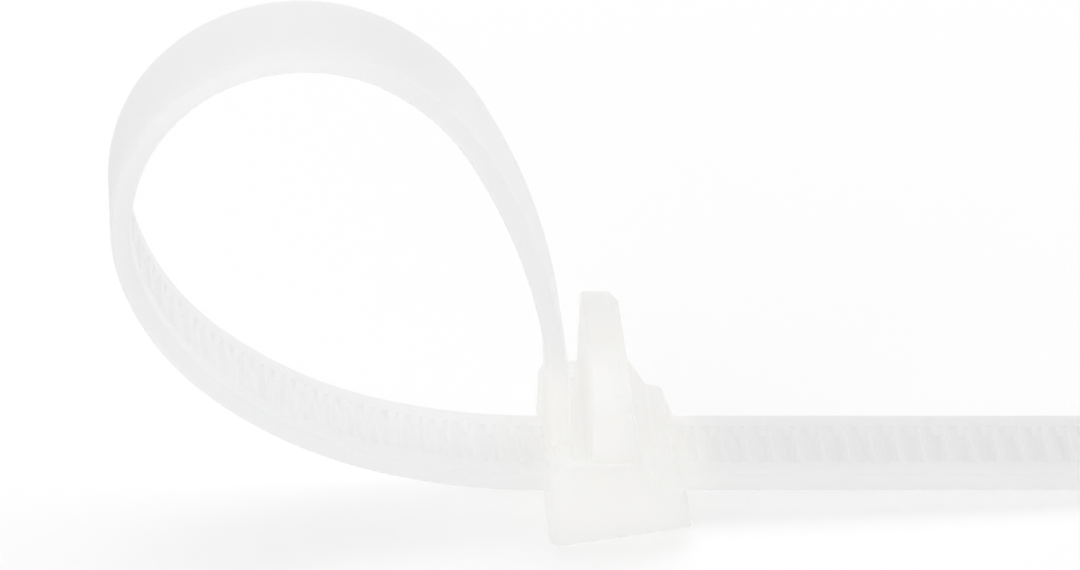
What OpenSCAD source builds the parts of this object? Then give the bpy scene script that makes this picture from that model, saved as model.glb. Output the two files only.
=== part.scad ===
// Releasable cable tie: one nylon moulding, closed into a loop and lying with its tail on the floor.
// The strap leaves the head upwards, rounds the loop, and passes the head's slot along +X.
// Sizes are in mm. +X runs along the tail, +Z is up, and the origin is under the tail's flat part.

/* [Strap] */
// Width of the strap
strap_w = 7.6; // [7:0.1:8.2]
// Thickness of the strap
strap_t = 1.35; // [1.3:0.05:1.6]
// Length of the strap, from the head round to its tip
strap_len = 200; // [190:5:300]
// Width of the loop that the strap makes
loop_w = 29; // [28:1:36]
// Length of plain strap between the head and the first tooth
plain_len = 26; // [15:1:40]
// Length of the tapered tip
tip_len = 12; // [8:1:14]
// Width across the tip's rounded end
tip_w = 3.6; // [3:0.2:5]

/* [Teeth] */
// Width of the ladder of teeth between the strap's rails
ladder_w = 4.6; // [4:0.1:5.2]
// Distance from one tooth to the next
tooth_pitch = 1.65; // [1.55:0.05:1.9]
// Depth of the gaps between the teeth
tooth_depth = 0.6; // [0.5:0.05:0.7]
// Length of a tooth's sloped back
tooth_ramp = 0.65; // [0.5:0.05:0.8]
// Length of a tooth's flat top
tooth_land = 0.45; // [0.3:0.05:0.5]

/* [Head] */
// Width of the head, across the strap
head_w = 13.8; // [13.5:0.1:15.5]
// Thickness of the head's side walls
wall_t = 1; // [0.8:0.1:1.3]
// Thickness of the head above the strap
roof_t = 2.35; // [2.2:0.05:2.6]
// Thickness of the head under the strap where the strap goes in
sole_in = 2.25; // [1.9:0.05:2.5]
// Thickness of the head under the strap where the strap comes out
sole_out = 0.65; // [0.5:0.05:1]
// Length of the head's level top
roof_len = 6.05; // [5.9:0.05:6.6]
// Length of the slope below the level top
shoulder_len = 1.1; // [1:0.05:1.4]
// Length of the ledge below the slope
ledge_len = 1.05; // [0.8:0.05:1.4]
// Length of the sloped nose below the ledge
nose_len = 1.1; // [0.8:0.05:1.4]
// Radius of the head's lower edge where the strap goes in
heel_r = 0.6; // [0.4:0.05:0.9]

/* [Release tab] */
// Height of the tab above the head's level top
tab_h = 5.45; // [5:0.05:7.5]
// Thickness of the tab at the bead along its top
tab_t = 2.55; // [2.4:0.05:2.7]
// Gap between the tab and the strap's root
tab_gap = 1.15; // [1:0.05:1.25]
// Thickness of the hinge that carries the pawl
hinge_t = 0.55; // [0.4:0.05:0.8]

/* [Resting] */
// Angle at which the tail runs down from the head to the floor
rest_tilt = 2.4; // [1.8:0.1:3.4]

/* [Hidden] */
$fn = 96;

// Play between the strap and its slot, and around the pawl
slot_gap = 0.1;
pawl_gap = 0.15;
// How far one piece runs into the next where they are one material, and cutters past a face
lap = 0.4;
nylon = [0.93, 0.92, 0.88];

// Turn of each arc of the loop, in degrees, and its radius as a share of the loop's width
arc_angle = [10, 22, 28, 100, 40, 30, 25, 15];
arc_share = [1.18, 1.408, 0.532, 0.3957, 0.429, 0.631, 0.971, 1.425];
// Radius of the bend where the tail settles on the floor
settle_r = 60;

// Heights in the side view, from the strap's middle in the slot
slot_top = strap_t / 2 + slot_gap;
roof_y = strap_t / 2 + roof_t;
bar_t = 0.5;
ledge_y = slot_top + bar_t;
ledge_drop = 0.2;
shelf_y = slot_top + pawl_gap;
pawl_y = shelf_y + pawl_gap;
heel_y = heel_r - slot_top - sole_in;
head_len = roof_len + shoulder_len + ledge_len + nose_len;
sole_rise = atan((sole_in - sole_out) / head_len);
slot_w = strap_w + 2 * slot_gap;
pocket_w = head_w - 2 * wall_t;
bridge_t = strap_t + slot_gap;

// Chamfer on the head's upper edge where the strap goes in, and depth to which the strap's root is buried
edge_in = 0.35;
edge_down = 0.8;
root_depth = roof_t / 2;

// Lever: its near and far faces, its width in the pocket, and the width of the tab over the head's walls
lever_x = strap_t + tab_gap;
lever_w = pocket_w - 2 * pawl_gap;
flank_x = roof_len - pawl_gap;
pawl_x = flank_x + shoulder_len - pawl_gap;
tab_inset = 0.3;
tab_w = head_w - 2 * tab_inset;

// Tab: its top, the bead along it, the finger groove below the bead, and the bevel and edge of its top
tab_y = roof_y + tab_h;
bead_x = lever_x + tab_t;
bead_h = 1.6;
groove_r = 0.35;
groove_out = 0.1;
bevel_in = 0.65;
bevel_down = 0.7;
tab_edge = 0.15;

// Pawl teeth: how far they reach into the ladder, the flat at their ends, and where the last one ends
bite = tooth_depth * 2 / 3;
bite_flat = tooth_ramp / 3;
pawl_teeth = 2;
pawl_end = roof_len + shoulder_len / 2;

// A place on the strap is [x, y, heading]. A piece of it is [radius, turn, length], radius 0 if straight.
function arc(r, a) = [r, a, r * a * PI / 180];
function straight(l) = [0, 0, l];
function part_of(piece, l) = piece[0] == 0 ? straight(l) : arc(piece[0], piece[1] * l / piece[2]);
function after(p, piece) =
    piece[0] == 0
    ? [p[0] + piece[2] * cos(p[2]), p[1] + piece[2] * sin(p[2]), p[2]]
    : [p[0] + piece[0] * (sin(p[2] + piece[1]) - sin(p[2])),
       p[1] - piece[0] * (cos(p[2] + piece[1]) - cos(p[2])),
       p[2] + piece[1]];
function run(p, pieces, n) = n == 0 ? p : after(run(p, pieces, n - 1), pieces[n - 1]);
function length_of(pieces, n) = n == 0 ? 0 : length_of(pieces, n - 1) + pieces[n - 1][2];

// The loop: its two straight ends close it between the head's top and the slot's mouth
arcs = [for (i = [0 : len(arc_angle) - 1]) arc(loop_w * arc_share[i], arc_angle[i])];
reach = run([0, 0, 90], arcs, len(arcs));
rise_len = -reach[1] - roof_y;
run_in = -reach[0] - strap_t / 2;
loop_pieces = concat([straight(rise_len)], arcs, [straight(run_in)]);
loop_len = length_of(loop_pieces, len(loop_pieces));

// The tail: straight down to the floor, a slight bend, and flat on the floor to its tip
floor_y = heel_y * cos(rest_tilt) - heel_r * sin(rest_tilt) - heel_r;
fall = -floor_y - strap_t / 2 - settle_r * (1 - cos(rest_tilt));
settle = arc(settle_r, rest_tilt);
slope_len = fall / sin(rest_tilt);
flat_len = strap_len - loop_len - slope_len - settle[2] - tip_len;
pieces = concat(loop_pieces, [straight(slope_len), settle, straight(flat_len)]);
root = [strap_t / 2, roof_y, 90];
starts = [for (i = [0 : len(pieces)]) run(root, pieces, i)];
marks = [for (i = [0 : len(pieces)]) length_of(pieces, i)];
tip = starts[len(pieces)];
tip_end = after(tip, straight(tip_len));
flat = starts[len(pieces) - 1];

// The ladder: tooth gaps counted both ways from the one that the last pawl tooth sits in
gap_len = tooth_pitch - tooth_land;
first_gap = pawl_end + slot_gap - gap_len;
gaps_back = floor((loop_len + first_gap - plain_len) / tooth_pitch);
gaps_on = floor((marks[len(pieces)] - loop_len - first_gap - gap_len) / tooth_pitch);

function piece_at(s) = max([for (i = [0 : len(pieces) - 1]) if (marks[i] <= s) i]);
function place_at(s) = let (i = piece_at(s)) after(starts[i], part_of(pieces[i], s - marks[i]));
function beside(p, d) = [p[0] - d * sin(p[2]), p[1] + d * cos(p[2])];

// Places along the strap, close enough together for its curves to be smooth
step_angle = 1.5;
steps = [for (piece = pieces) max(1, ceil(piece[1] / step_angle))];
strap_places = concat(
    [[root[0], root[1] - root_depth, root[2]]],
    [for (i = [0 : len(pieces) - 1], k = [0 : steps[i] - 1])
        after(starts[i], part_of(pieces[i], pieces[i][2] * k / steps[i]))],
    [tip_end]
);

// Middle of the tail's flat underside, before the tie is tilted down on to the floor
rest_place = after(flat, straight(flat_len / 2));
rest_x = rest_place[0] * cos(rest_tilt) + rest_place[1] * sin(rest_tilt);

// Side-view helpers: x and y as drawn, with the width along z
module wide(w)
    linear_extrude(w, center = true)
        children();

module at_place(p)
    translate([p[0], p[1], 0])
        rotate([0, 0, p[2] - 90])
            children();

// Side outline of the strap: out along its outer face and back along its inner one
module strap_side()
    polygon(concat(
        [for (p = strap_places) beside(p, -strap_t / 2)],
        [for (i = [len(strap_places) - 1 : -1 : 0]) beside(strap_places[i], strap_t / 2)]
    ));

// What is cut from the tail's end to leave its rounded tip
module tip_waste()
    translate([-strap_t, 0, 0])
        rotate([0, 90, 0])
            linear_extrude(2 * strap_t)
                difference() {
                    translate([-strap_w, 0])
                        square([2 * strap_w, tip_len + lap]);
                    polygon([
                        [-strap_w / 2, 0],
                        [strap_w / 2, 0],
                        [tip_w / 2, tip_len - tip_w / 2],
                        [-tip_w / 2, tip_len - tip_w / 2]
                    ]);
                    translate([0, tip_len - tip_w / 2])
                        circle(d = tip_w);
                }

// Gap between two teeth: a sloped back, a flat floor and a steep face that the pawl bears on
module tooth_gap()
    wide(ladder_w)
        polygon([
            [-strap_t / 2 - lap, -tooth_ramp * lap / tooth_depth],
            [tooth_depth - strap_t / 2, tooth_ramp],
            [tooth_depth - strap_t / 2, gap_len],
            [-strap_t / 2 - lap, gap_len]
        ]);

module strap()
    difference() {
        wide(strap_w)
            strap_side();
        at_place(tip)
            tip_waste();
        for (n = [-gaps_back : gaps_on])
            at_place(place_at(loop_len + first_gap + n * tooth_pitch))
                tooth_gap();
    }

// Side outline of the head, with its lower edge rounded where the strap goes in
module head_side()
    union() {
        polygon([
            [0, heel_y],
            [heel_r * (1 + sin(sole_rise)), heel_y - heel_r * cos(sole_rise)],
            [head_len, heel_y - heel_r * cos(sole_rise)
                + (head_len - heel_r * (1 + sin(sole_rise))) * tan(sole_rise)],
            [head_len - nose_len, ledge_y - ledge_drop],
            [roof_len + shoulder_len, ledge_y],
            [roof_len, roof_y],
            [edge_in, roof_y],
            [0, roof_y - edge_down]
        ]);
        translate([heel_r, heel_y])
            circle(heel_r);
    }

module head()
    difference() {
        wide(head_w)
            head_side();
        translate([-lap, -slot_top, -slot_w / 2])
            cube([head_len + 2 * lap, 2 * slot_top, slot_w]);
        translate([bridge_t, 0, -slot_w / 2])
            cube([roof_len + shoulder_len - bridge_t, roof_y, slot_w]);
        translate([bridge_t, shelf_y, -pocket_w / 2])
            cube([roof_len + shoulder_len - bridge_t, roof_y, pocket_w]);
    }

// Side outline of the lever: pawl at the foot, tab above, and a finger groove under the tab's bead
module lever_side()
    difference() {
        polygon([
            [lever_x, pawl_y],
            [pawl_x, pawl_y],
            [pawl_x, ledge_y],
            [flank_x, roof_y],
            [bead_x + 2 * groove_out, tab_y - bead_h - 2 * groove_r],
            [bead_x, tab_y - bead_h],
            [bead_x, tab_y - bevel_down],
            [bead_x - bevel_in, tab_y],
            [lever_x + tab_edge, tab_y],
            [lever_x, tab_y - tab_edge]
        ]);
        translate([bead_x + groove_out, tab_y - bead_h - groove_r])
            circle(groove_r);
    }

// One pawl tooth, its steep face towards +x
module pawl_tooth()
    wide(ladder_w - 2 * pawl_gap)
        polygon([
            [0, pawl_y + lap],
            [-tooth_pitch, pawl_y + lap],
            [-bite_flat, strap_t / 2 - bite],
            [0, strap_t / 2 - bite]
        ]);

// The part of the lever's outline that stands clear of the head's walls
module tab_side()
    intersection() {
        lever_side();
        translate([0, roof_y + pawl_gap])
            square([head_len, tab_h]);
    }

module lever()
    union() {
        wide(lever_w)
            lever_side();
        wide(tab_w)
            tab_side();
        translate([bridge_t - lap, pawl_y, -lever_w / 2])
            cube([lever_x - bridge_t + 2 * lap, hinge_t, lever_w]);
        for (n = [0 : pawl_teeth - 1])
            translate([pawl_end - n * tooth_pitch, 0, 0])
                pawl_tooth();
    }

module cable_tie()
    color(nylon)
        translate([-rest_x, 0, -floor_y])
            rotate([90, 0, 0])
                rotate([0, 0, -rest_tilt])
                    union() {
                        head();
                        lever();
                        strap();
                    }

cable_tie();
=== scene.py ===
import math

import bmesh
import bpy
from mathutils import Matrix, Vector


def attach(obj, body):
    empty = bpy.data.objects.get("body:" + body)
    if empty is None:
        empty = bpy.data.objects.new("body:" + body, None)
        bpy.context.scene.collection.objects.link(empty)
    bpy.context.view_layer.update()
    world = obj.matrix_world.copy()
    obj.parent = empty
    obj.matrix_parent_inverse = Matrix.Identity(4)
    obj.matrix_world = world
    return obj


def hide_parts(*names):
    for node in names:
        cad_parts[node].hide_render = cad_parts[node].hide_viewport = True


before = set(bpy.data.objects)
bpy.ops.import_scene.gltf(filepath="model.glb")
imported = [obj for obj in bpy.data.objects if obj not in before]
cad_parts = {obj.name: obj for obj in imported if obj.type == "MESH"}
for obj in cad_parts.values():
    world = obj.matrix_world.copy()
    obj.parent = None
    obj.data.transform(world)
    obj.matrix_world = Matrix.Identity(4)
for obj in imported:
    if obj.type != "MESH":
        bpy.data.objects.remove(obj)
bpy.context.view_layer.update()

MM = 0.001

# Camera: where it looks in the part's frame, in mm, and from which side, in degrees
AIM = Vector((-77.365, 0.0, 15.768))
DISTANCE = 493.9
YAW, ELEVATION = 3.98, 30.0
LENS, SENSOR = 254.14, 36.0


def add_camera():
    yaw, elevation = math.radians(YAW), math.radians(ELEVATION)
    ahead = Vector((
        math.sin(yaw) * math.cos(elevation),
        math.cos(yaw) * math.cos(elevation),
        -math.sin(elevation),
    ))
    right = ahead.cross(Vector((0, 0, 1))).normalized()
    up = right.cross(ahead)
    data = bpy.data.cameras.new("camera")
    data.lens = LENS
    data.sensor_width = SENSOR
    data.clip_start = 0.01
    data.clip_end = 100
    camera = bpy.data.objects.new("camera", data)
    turn = Matrix((right, up, -ahead)).transposed().to_4x4()
    camera.matrix_world = Matrix.Translation((AIM - DISTANCE * ahead) * MM) @ turn
    bpy.context.scene.collection.objects.link(camera)
    bpy.context.scene.camera = camera


add_camera()

# Strap sizes in mm, as in the CAD model
STRAP_W, STRAP_T, STRAP_LEN = 7.6, 1.35, 200.0
LOOP_W = 29.0
PLAIN_LEN = 26.0
TIP_LEN, TIP_W = 12.0, 3.6
ARC_ANGLE = [10, 22, 28, 100, 40, 30, 25, 15]
ARC_SHARE = [1.18, 1.408, 0.532, 0.3957, 0.429, 0.631, 0.971, 1.425]
SETTLE_R = 60.0
REST_TILT = 2.4

# Teeth, with the length over which a tooth's upright wall is rounded
LADDER_W, LADDER_WALL = 4.6, 0.45
PITCH, DEPTH, RAMP, LAND = 1.65, 0.5, 0.65, 0.45
WALL_STEP = 0.08

# Head
HEAD_W, WALL_T, ROOF_T = 13.8, 1.0, 2.35
SOLE_IN, SOLE_OUT = 2.25, 0.65
ROOF_LEN, SHOULDER_LEN, LEDGE_LEN, NOSE_LEN = 6.05, 1.1, 1.05, 1.1
HEEL_R = 0.6
EDGE_IN, EDGE_DOWN = 0.35, 0.8
SLOT_GAP, PAWL_GAP, LAP = 0.1, 0.15, 0.4
BAR_T, LEDGE_DROP = 0.5, 0.2

# Release tab
TAB_H, TAB_T, TAB_GAP, TAB_INSET = 5.45, 2.55, 1.15, 0.3
BEAD_H, GROOVE_R, GROOVE_OUT = 1.6, 0.35, 0.1
BEVEL_IN, BEVEL_DOWN, TAB_EDGE = 0.65, 0.7, 0.15

# Moulded rounding
STRAP_EDGE = 0.26
HEAD_EDGE = 0.2
TAB_BEVEL = 0.16
BEVEL_STEPS = 3

# Edges that turn by more than this, in degrees, are rounded, and shaded as sharp
BEVEL_ANGLE, SHARP_ANGLE = 28, 34

# How deep the gaps show: beside the tab, round the strap at the slot, and between strap and tab
SEAM = 0.15
MOUTH_DEPTH = 0.06
GAP_DEPTH = 0.8

# How far joined parts stay inside each other's faces
INSET = 0.02

# Heights and lengths that follow from them
SLOT_TOP = STRAP_T / 2 + SLOT_GAP
ROOF_Y = STRAP_T / 2 + ROOF_T
LEDGE_Y = SLOT_TOP + BAR_T
HEEL_Y = HEEL_R - SLOT_TOP - SOLE_IN
HEAD_LEN = ROOF_LEN + SHOULDER_LEN + LEDGE_LEN + NOSE_LEN
SOLE_RISE = math.atan((SOLE_IN - SOLE_OUT) / HEAD_LEN)
SOLE_X = HEEL_R * (1 + math.sin(SOLE_RISE))
SOLE_Y = HEEL_Y - HEEL_R * math.cos(SOLE_RISE)
SOLE_END = SOLE_Y + (HEAD_LEN - SOLE_X) * math.tan(SOLE_RISE)
SLOT_W = STRAP_W + 2 * SLOT_GAP
POCKET_W = HEAD_W - 2 * WALL_T
BRIDGE_T = STRAP_T + SLOT_GAP
LEVER_X = STRAP_T + TAB_GAP
LEVER_W = POCKET_W - 2 * PAWL_GAP
FLANK_X = ROOF_LEN - PAWL_GAP
BEAD_X = LEVER_X + TAB_T
TAB_Y = ROOF_Y + TAB_H
TAB_W = HEAD_W - 2 * TAB_INSET
ROOT_DEPTH = EDGE_DOWN - INSET
PAWL_END = ROOF_LEN + SHOULDER_LEN / 2


# The strap's path in the side view: a place is (x, y, heading), a piece is (radius, turn, length)


def arc(radius, turn):
    return radius, turn, radius * math.radians(turn)


def straight(length):
    return 0.0, 0.0, length


def after(place, piece, share=1.0):
    x, y, heading = place
    radius, turn, length = piece
    if not radius:
        h = math.radians(heading)
        return x + share * length * math.cos(h), y + share * length * math.sin(h), heading
    turned = heading + share * turn
    h, g = math.radians(heading), math.radians(turned)
    return x + radius * (math.sin(g) - math.sin(h)), y - radius * (math.cos(g) - math.cos(h)), turned


def loop_pieces():
    arcs = [arc(LOOP_W * share, angle) for angle, share in zip(ARC_ANGLE, ARC_SHARE)]
    reach = (0.0, 0.0, 90.0)
    for piece in arcs:
        reach = after(reach, piece)
    return [straight(-reach[1] - ROOF_Y), *arcs, straight(-reach[0] - STRAP_T / 2)]


def strap_pieces():
    loop = loop_pieces()
    loop_len = sum(piece[2] for piece in loop)
    tilt = math.radians(REST_TILT)
    floor_y = HEEL_Y * math.cos(tilt) - HEEL_R * math.sin(tilt) - HEEL_R
    fall = -floor_y - STRAP_T / 2 - SETTLE_R * (1 - math.cos(tilt))
    slope = straight(fall / math.sin(tilt))
    settle = arc(SETTLE_R, REST_TILT)
    flat = straight(STRAP_LEN - loop_len - slope[2] - settle[2] - TIP_LEN)
    return [*loop, slope, settle, flat, straight(TIP_LEN)], loop_len, floor_y


PIECES, LOOP_LEN, FLOOR_Y = strap_pieces()
ROOT = (STRAP_T / 2, ROOF_Y, 90.0)


def place_at(distance):
    place = ROOT
    if distance <= 0:
        return after(place, straight(distance))
    for piece in PIECES:
        if distance <= piece[2]:
            return after(place, piece, distance / piece[2])
        distance -= piece[2]
        place = after(place, piece)
    return place


def rest_offset():
    """How far the middle of the tail's flat part lies from the head, along the floor."""
    x, y, _ = place_at(STRAP_LEN - TIP_LEN - PIECES[-2][2] / 2)
    tilt = math.radians(REST_TILT)
    return x * math.cos(tilt) + y * math.sin(tilt)


REST_X = rest_offset()


def to_row(x, y, across):
    """A point of the side view, at some place across the strap, in the row's frame and in metres."""
    tilt = math.radians(REST_TILT)
    along = x * math.cos(tilt) + y * math.sin(tilt) - REST_X
    height = -x * math.sin(tilt) + y * math.cos(tilt) - FLOOR_Y
    return along * MM, across * MM, height * MM


# The strap: rings of points along the path, with a ladder of teeth in its inner face

# One gap of the ladder, as (along, depth): a long ramp down, a flat foot and an upright wall
GAP_LEN = PITCH - LAND
TOOTH = [
    (0.0, 0.0),
    (0.12, 0.06),
    (0.85 * RAMP, 0.88 * DEPTH),
    (RAMP, DEPTH),
    (GAP_LEN - 2 * WALL_STEP, DEPTH),
    (GAP_LEN - WALL_STEP, 0.85 * DEPTH),
    (GAP_LEN, 0.12),
    (GAP_LEN + WALL_STEP, 0.0),
]
RING_STEP = 0.5
TIP_STEPS = 8


def stations():
    """Distances along the strap, each with the ladder's depth there."""
    first = LOOP_LEN + PAWL_END + SLOT_GAP - GAP_LEN
    back = math.floor((first - PLAIN_LEN) / PITCH)
    on = math.floor((STRAP_LEN - TIP_LEN - first - GAP_LEN) / PITCH)
    start, end = first - back * PITCH, first + (on + 1) * PITCH
    steps = round((start + ROOT_DEPTH) / RING_STEP)
    found = [(-ROOT_DEPTH + i * (start + ROOT_DEPTH) / steps, 0.0) for i in range(steps)]
    for n in range(-back, on + 1):
        found += [(first + n * PITCH + along, depth) for along, depth in TOOTH]
    steps = round((STRAP_LEN - end) / RING_STEP) * 2
    for i in range(steps + 1):
        found.append((end + i / steps * (STRAP_LEN - end), 0.0))
    for k in range(1, TIP_STEPS):
        angle = math.pi / 2 * k / TIP_STEPS
        found.append((STRAP_LEN - TIP_W / 2 * (1 - math.sin(angle)), 0.0))
    return sorted(set(found))


def half_width(distance):
    """Half the strap's width, which tapers to a rounded tip."""
    into = distance - (STRAP_LEN - TIP_LEN)
    if into <= 0:
        return STRAP_W / 2
    taper = TIP_LEN - TIP_W / 2
    if into <= taper:
        return STRAP_W / 2 + (TIP_W - STRAP_W) / 2 * into / taper
    over = min(into - taper, TIP_W / 2 - 0.02)
    return math.sqrt((TIP_W / 2) ** 2 - over ** 2)


def section(half, depth):
    """Points round the strap, as (across, towards the inner face)."""
    edge = min(STRAP_EDGE, 0.8 * half)
    t = STRAP_T / 2
    quarter = [math.radians(a) for a in (0, 18, 36, 54, 72, 90)]
    lip = min(LADDER_W / 2, half - edge)
    wall = min(LADDER_WALL, 0.4 * lip)
    flat = half - edge
    right_top = [(flat + edge * math.cos(a), t - edge + edge * math.sin(a)) for a in quarter]
    top = [(lip, t), (lip - wall, t - depth), (lip / 2, t - depth), (0, t - depth)]
    right_low = [(flat + edge * math.cos(a), edge - t - edge * math.sin(a)) for a in reversed(quarter)]
    half_ring = [(0, -t), (flat / 2, -t), *right_low, *right_top, *top]
    return half_ring + [(-w, d) for w, d in reversed(half_ring[1:-1])]


def add_ring(mesh, distance, depth):
    x, y, heading = place_at(distance)
    h = math.radians(heading)
    return [
        mesh.verts.new(to_row(x - d * math.sin(h), y + d * math.cos(h), w))
        for w, d in section(half_width(distance), depth)
    ]


def strap_mesh():
    mesh = bmesh.new()
    rings = [add_ring(mesh, distance, depth) for distance, depth in stations()]
    for low, high in zip(rings, rings[1:]):
        for i in range(len(low)):
            j = (i + 1) % len(low)
            mesh.faces.new((low[i], low[j], high[j], high[i]))
    mesh.faces.new(reversed(rings[0]))
    mesh.faces.new(rings[-1])
    bmesh.ops.recalc_face_normals(mesh, faces=mesh.faces)
    return mesh


# Prisms: side outlines carried across the strap


def arc_points(centre, radius, start, end, steps=8):
    return [
        (
            centre[0] + radius * math.cos(math.radians(start + (end - start) * i / steps)),
            centre[1] + radius * math.sin(math.radians(start + (end - start) * i / steps)),
        )
        for i in range(steps + 1)
    ]


def add_prism(name, outline, width):
    mesh = bmesh.new()
    near = [mesh.verts.new(to_row(x, y, -width / 2)) for x, y in outline]
    far = [mesh.verts.new(to_row(x, y, width / 2)) for x, y in outline]
    mesh.faces.new(near)
    mesh.faces.new(reversed(far))
    for i in range(len(outline)):
        j = (i + 1) % len(outline)
        mesh.faces.new((near[i], far[i], far[j], near[j]))
    bmesh.ops.recalc_face_normals(mesh, faces=mesh.faces)
    data = bpy.data.meshes.new(name)
    mesh.to_mesh(data)
    mesh.free()
    prism = bpy.data.objects.new(name, data)
    bpy.context.scene.collection.objects.link(prism)
    return prism


def box_outline(low_x, low_y, high_x, high_y):
    return [(low_x, low_y), (high_x, low_y), (high_x, high_y), (low_x, high_y)]


def combine(solid, other, operation):
    change = solid.modifiers.new(operation.lower(), "BOOLEAN")
    change.operation = operation
    change.solver = "EXACT"
    change.object = other


def add_bevel(solid, width):
    bevel = solid.modifiers.new("edges", "BEVEL")
    bevel.width = width * MM
    bevel.segments = BEVEL_STEPS
    bevel.limit_method = "ANGLE"
    bevel.angle_limit = math.radians(BEVEL_ANGLE)


def settle(solid, helpers=()):
    """Turns the solid's modifiers into mesh, and removes the helpers that they used."""
    bpy.context.view_layer.update()
    graph = bpy.context.evaluated_depsgraph_get()
    solid.data = bpy.data.meshes.new_from_object(solid.evaluated_get(graph))
    solid.modifiers.clear()
    for done in helpers:
        bpy.data.objects.remove(done)


def head_outline():
    return [
        *arc_points((HEEL_R, HEEL_Y), HEEL_R, 180, 270 + math.degrees(SOLE_RISE)),
        (HEAD_LEN, SOLE_END),
        (HEAD_LEN - NOSE_LEN, LEDGE_Y - LEDGE_DROP),
        (ROOF_LEN + SHOULDER_LEN, LEDGE_Y),
        (ROOF_LEN, ROOF_Y),
        (EDGE_IN, ROOF_Y),
        (0, ROOF_Y - EDGE_DOWN),
    ]


def way_out_outline():
    """A shallow cut in the sloped nose, round the strap that leaves there."""
    lean = NOSE_LEN / (LEDGE_Y - LEDGE_DROP - SOLE_END)
    high_x = HEAD_LEN - NOSE_LEN + lean * (LEDGE_Y - LEDGE_DROP - SLOT_TOP)
    low_x = high_x + lean * 2 * SLOT_TOP
    return [
        (low_x - MOUTH_DEPTH, -SLOT_TOP),
        (HEAD_LEN + LAP, -SLOT_TOP),
        (HEAD_LEN + LAP, SLOT_TOP),
        (high_x - MOUTH_DEPTH, SLOT_TOP),
    ]


def add_head():
    """The head's block, rounded, with its grooves and the gap between strap and tab."""
    head = add_prism("head", head_outline(), HEAD_W)
    recess = add_prism("recess", box_outline(BRIDGE_T, ROOF_Y - GAP_DEPTH, LEVER_X, ROOF_Y + LAP), POCKET_W)
    mouth = add_prism("mouth", box_outline(-LAP, -SLOT_TOP, MOUTH_DEPTH, SLOT_TOP), SLOT_W)
    way_out = add_prism("way_out", way_out_outline(), SLOT_W)
    combine(head, recess, "DIFFERENCE")
    add_bevel(head, HEAD_EDGE)
    cutters = [mouth, way_out]
    for side in (-1, 1):
        seam_box = box_outline(LEVER_X - 2 * SEAM, ROOF_Y - SEAM, FLANK_X - SEAM, ROOF_Y + LAP)
        seam = add_prism("seam", seam_box, PAWL_GAP)
        seam.location.y = side * (LEVER_W + PAWL_GAP) / 2 * MM
        cutters.append(seam)
    for cutter in cutters:
        combine(head, cutter, "DIFFERENCE")
    settle(head, [recess, *cutters])
    return head


def tab_outline():
    """The tab above the head: its foot, the finger groove, the bead and the face by the strap."""
    groove = (BEAD_X + GROOVE_OUT, TAB_Y - BEAD_H - GROOVE_R)
    flank_top = (BEAD_X + 2 * GROOVE_OUT, TAB_Y - BEAD_H - 2 * GROOVE_R)
    share = PAWL_GAP / (flank_top[1] - ROOF_Y)
    foot = (FLANK_X + share * (flank_top[0] - FLANK_X), ROOF_Y + PAWL_GAP)
    return [
        (LEVER_X, foot[1]),
        foot,
        *arc_points(groove, GROOVE_R, 290, 106, 10),
        (BEAD_X, TAB_Y - BEVEL_DOWN),
        (BEAD_X - BEVEL_IN, TAB_Y),
        (LEVER_X + TAB_EDGE, TAB_Y),
        (LEVER_X, TAB_Y - TAB_EDGE),
    ]


def add_tab():
    tab = add_prism("tab", tab_outline(), TAB_W)
    add_bevel(tab, TAB_BEVEL)
    settle(tab)
    return tab


def add_strap():
    data = bpy.data.meshes.new("strap")
    mesh = strap_mesh()
    mesh.to_mesh(data)
    mesh.free()
    strap = bpy.data.objects.new("strap", data)
    bpy.context.scene.collection.objects.link(strap)
    return strap


def add_tie(material):
    """One object for the whole moulding, which stands for the CAD node."""
    tie = add_head()
    tie_name = "cable_tie_moulding"
    neck_box = box_outline(LEVER_X + INSET, ROOF_Y - LAP, FLANK_X - PAWL_GAP, ROOF_Y + PAWL_GAP + LAP)
    neck = add_prism("neck", neck_box, LEVER_W - 2 * INSET)
    parts = [neck, add_tab(), add_strap()]
    for part in parts:
        combine(tie, part, "UNION")
    settle(tie, parts)
    tie.name = tie.data.name = tie_name
    tie.data.shade_smooth()
    tie.data.set_sharp_from_angle(angle=math.radians(SHARP_ANGLE))
    tie.data.materials.clear()
    tie.data.materials.append(material)
    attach(tie, "root")
    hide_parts("cable_tie")
    return tie


# Materials: colours of the strap, of its tail, which is darker as painted shade, and of the thick head,
# which is warmer as thick nylon is and brighter as painted light, for scattered and for passing light
STRAP_BODY, TAIL_PAINTED_SHADE_BODY, HEAD_WARM_PAINTED_LIGHT_BODY = (0.84, 0.84, 0.842), (0.76, 0.76, 0.762), (0.985, 0.975, 0.945)
STRAP_GLOW, TAIL_PAINTED_SHADE_GLOW, HEAD_WARM_PAINTED_LIGHT_GLOW = (0.982, 0.982, 0.983), (0.975, 0.975, 0.976), (0.993, 0.992, 0.988)
GLOW_SHARE = 0.75
SCATTER_REACH, SCATTER_TINT = 0.004, (1.0, 0.95, 0.85)
NYLON_IOR = 1.53
CLOUD_SCALE, SHEEN_SCALE, GRAIN_SCALE = 140, 900, 1300
GRAIN_DEPTH, GRAIN_SHARE = 0.00002, 0.15

# Distances in metres from the head's middle at which the tail's painted shade and the head's warmth and
# painted light start and end
TAIL_SHADE_START, TAIL_SHADE_FULL = 0.0045, 0.0075
HEAD_WARMTH_AND_LIGHT_START, HEAD_WARMTH_AND_LIGHT_FULL = 0.0125, 0.01
HEAD_SQUEEZE = 2

# Studio: share of the floor's brightness that is its own, light from all round, and bounces
FLOOR_GLOW = 0.45
STUDIO_LIGHT = 0.66
BOUNCES = 20
FLOOR_SIZE, FLOOR_DROP = 3.0, 0.00002


def new_material(name):
    material = bpy.data.materials.new(name)
    material.use_nodes = True
    tree = material.node_tree
    return material, tree.nodes, tree.links, tree.nodes["Principled BSDF"]


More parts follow.
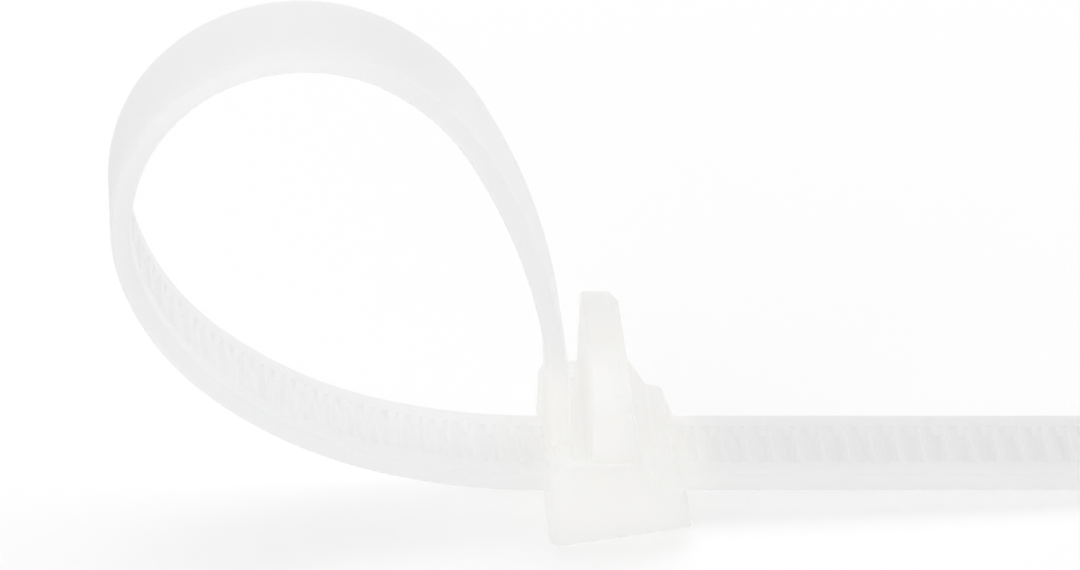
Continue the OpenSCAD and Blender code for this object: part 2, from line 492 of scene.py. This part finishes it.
def add_noise(nodes, links, place, scale, detail):
    noise = nodes.new("ShaderNodeTexNoise")
    noise.inputs["Scale"].default_value = scale
    noise.inputs["Detail"].default_value = detail
    links.new(place, noise.inputs["Vector"])
    return noise.outputs["Fac"]


def add_range(nodes, links, value, start, end, low, high):
    spread = nodes.new("ShaderNodeMapRange")
    for name, number in (("From Min", start), ("From Max", end), ("To Min", low), ("To Max", high)):
        spread.inputs[name].default_value = number
    links.new(value, spread.inputs["Value"])
    return spread.outputs[0]


def add_tint(nodes, links, share, colour_a, colour_b):
    tint = nodes.new("ShaderNodeMix")
    tint.data_type = "RGBA"
    tint.inputs["A"].default_value = (*colour_a, 1)
    tint.inputs["B"].default_value = (*colour_b, 1)
    links.new(share, tint.inputs["Factor"])
    return tint


def nylon_material():
    """Milky natural nylon: light scatters in it and passes through, and the thick head looks warmer; the
    head also carries painted light, and the tail painted shade.
    """
    material, nodes, links, shader = new_material("nylon")
    place = nodes.new("ShaderNodeTexCoord").outputs["Object"]

    axes = nodes.new("ShaderNodeSeparateXYZ")
    links.new(place, axes.inputs[0])
    head_x, _, head_z = to_row(HEAD_LEN / 2, ROOF_Y, 0)
    # Mask of the painted shade that darkens the tail, growing away from the head
    tail_painted_shade = add_range(nodes, links, axes.outputs["X"], head_x + TAIL_SHADE_START, head_x + TAIL_SHADE_FULL, 0, 1)
    # Mask round the head's middle for its warmer colour and for its painted light
    narrow = nodes.new("ShaderNodeVectorMath")
    narrow.operation = "MULTIPLY_ADD"
    narrow.inputs[1].default_value = (HEAD_SQUEEZE, 1, 1)
    narrow.inputs[2].default_value = (-HEAD_SQUEEZE * head_x, 0, -head_z)
    reach = nodes.new("ShaderNodeVectorMath")
    reach.operation = "LENGTH"
    links.new(place, narrow.inputs[0])
    links.new(narrow.outputs["Vector"], reach.inputs[0])
    head_warmth_and_painted_light = add_range(nodes, links, reach.outputs["Value"], HEAD_WARMTH_AND_LIGHT_START, HEAD_WARMTH_AND_LIGHT_FULL, 0, 1)
    cloud_noise = add_noise(nodes, links, place, CLOUD_SCALE, 3)
    cloud = add_range(nodes, links, cloud_noise, 0.3, 0.7, 0.97, 1.0)

    # The strap's colour, painted darker on the tail as shade, then warmer and brighter at the head, where
    # the brightness is painted light
    strap_colour_with_tail_shade = add_tint(nodes, links, tail_painted_shade, STRAP_BODY, TAIL_PAINTED_SHADE_BODY)
    shaded_and_lit_colour = add_tint(nodes, links, head_warmth_and_painted_light, (0, 0, 0), HEAD_WARM_PAINTED_LIGHT_BODY)
    links.new(strap_colour_with_tail_shade.outputs["Result"], shaded_and_lit_colour.inputs["A"])
    colour = nodes.new("ShaderNodeVectorMath")
    colour.operation = "SCALE"
    links.new(shaded_and_lit_colour.outputs["Result"], colour.inputs[0])
    links.new(cloud, colour.inputs["Scale"])

    sheen_noise = add_noise(nodes, links, place, SHEEN_SCALE, 4)
    sheen = add_range(nodes, links, sheen_noise, 0.3, 0.7, 0.31, 0.42)
    bump = nodes.new("ShaderNodeBump")
    bump.inputs["Strength"].default_value = GRAIN_SHARE
    bump.inputs["Distance"].default_value = GRAIN_DEPTH
    links.new(add_noise(nodes, links, place, GRAIN_SCALE, 1), bump.inputs["Height"])

    links.new(colour.outputs["Vector"], shader.inputs["Base Color"])
    links.new(sheen, shader.inputs["Roughness"])
    links.new(bump.outputs[0], shader.inputs["Normal"])
    shader.inputs["IOR"].default_value = NYLON_IOR
    shader.inputs["Subsurface Weight"].default_value = 1.0
    shader.inputs["Subsurface Radius"].default_value = SCATTER_TINT
    shader.inputs["Subsurface Scale"].default_value = SCATTER_REACH

    through = nodes.new("ShaderNodeBsdfTranslucent")
    # Colour of the passing light, painted darker on the tail as shade and brighter at the head as painted
    # light
    strap_glow_with_tail_shade = add_tint(nodes, links, tail_painted_shade, STRAP_GLOW, TAIL_PAINTED_SHADE_GLOW)
    glow = add_tint(nodes, links, head_warmth_and_painted_light, (0, 0, 0), HEAD_WARM_PAINTED_LIGHT_GLOW)
    links.new(strap_glow_with_tail_shade.outputs["Result"], glow.inputs["A"])
    links.new(glow.outputs["Result"], through.inputs["Color"])
    both = nodes.new("ShaderNodeMixShader")
    both.inputs[0].default_value = GLOW_SHARE
    links.new(shader.outputs[0], both.inputs[1])
    links.new(through.outputs[0], both.inputs[2])
    links.new(both.outputs[0], nodes["Material Output"].inputs["Surface"])
    return material


def floor_material():
    """Matt white, a little brighter where the camera sees it, also through the tie."""
    material, nodes, links, shader = new_material("floor_white")
    shader.inputs["Base Color"].default_value = (0.96, 0.96, 0.96, 1)
    shader.inputs["Roughness"].default_value = 1.0
    shader.inputs["Specular IOR Level"].default_value = 0.0
    path = nodes.new("ShaderNodeLightPath")
    glow = nodes.new("ShaderNodeEmission")
    glow.inputs["Strength"].default_value = 1.0
    seen = nodes.new("ShaderNodeMath")
    seen.operation = "MAXIMUM"
    share = nodes.new("ShaderNodeMath")
    share.operation = "MULTIPLY"
    share.inputs[1].default_value = FLOOR_GLOW
    mix = nodes.new("ShaderNodeMixShader")
    links.new(path.outputs["Is Camera Ray"], seen.inputs[0])
    links.new(path.outputs["Is Transmission Ray"], seen.inputs[1])
    links.new(seen.outputs[0], share.inputs[0])
    links.new(share.outputs[0], mix.inputs[0])
    links.new(shader.outputs[0], mix.inputs[1])
    links.new(glow.outputs[0], mix.inputs[2])
    links.new(mix.outputs[0], nodes["Material Output"].inputs["Surface"])
    return material


# Studio


def add_floor():
    mesh = bpy.data.meshes.new("floor")
    sides = ((-1, -1), (1, -1), (1, 1), (-1, 1))
    corners = [(x * FLOOR_SIZE, y * FLOOR_SIZE, -FLOOR_DROP) for x, y in sides]
    mesh.from_pydata(corners, [], [(0, 1, 2, 3)])
    mesh.materials.append(floor_material())
    floor = bpy.data.objects.new("floor", mesh)
    bpy.context.scene.collection.objects.link(floor)


def add_lamp(name, place, size, power):
    data = bpy.data.lights.new(name, "AREA")
    data.shape = "RECTANGLE"
    data.size, data.size_y = size
    data.energy = power
    lamp = bpy.data.objects.new(name, data)
    aim = Vector((AIM.x * MM, 0, 0.01))
    lamp.location = place
    lamp.rotation_euler = (aim - Vector(place)).to_track_quat("-Z", "Y").to_euler()
    bpy.context.scene.collection.objects.link(lamp)


def add_world():
    """Even white light from all round, with plain white where the camera sees past the floor."""
    world = bpy.data.worlds.new("studio")
    world.use_nodes = True
    nodes, links = world.node_tree.nodes, world.node_tree.links
    light = nodes["Background"]
    light.inputs["Color"].default_value = (1, 1, 1, 1)
    light.inputs["Strength"].default_value = STUDIO_LIGHT
    white = nodes.new("ShaderNodeBackground")
    white.inputs["Strength"].default_value = 1.0
    path = nodes.new("ShaderNodeLightPath")
    mix = nodes.new("ShaderNodeMixShader")
    links.new(path.outputs["Is Camera Ray"], mix.inputs[0])
    links.new(light.outputs[0], mix.inputs[1])
    links.new(white.outputs[0], mix.inputs[2])
    links.new(mix.outputs[0], nodes["World Output"].inputs["Surface"])
    bpy.context.scene.world = world


bpy.context.scene.view_settings.view_transform = "Standard"
bpy.context.scene.cycles.max_bounces = BOUNCES
bpy.context.scene.cycles.diffuse_bounces = BOUNCES
add_tie(nylon_material())
add_floor()
add_world()
add_lamp("key", (0.05, 0.4, 0.8), (1.1, 0.8), 3.4)
add_lamp("fill", (-0.55, -0.6, 0.3), (1.0, 0.5), 2.3)
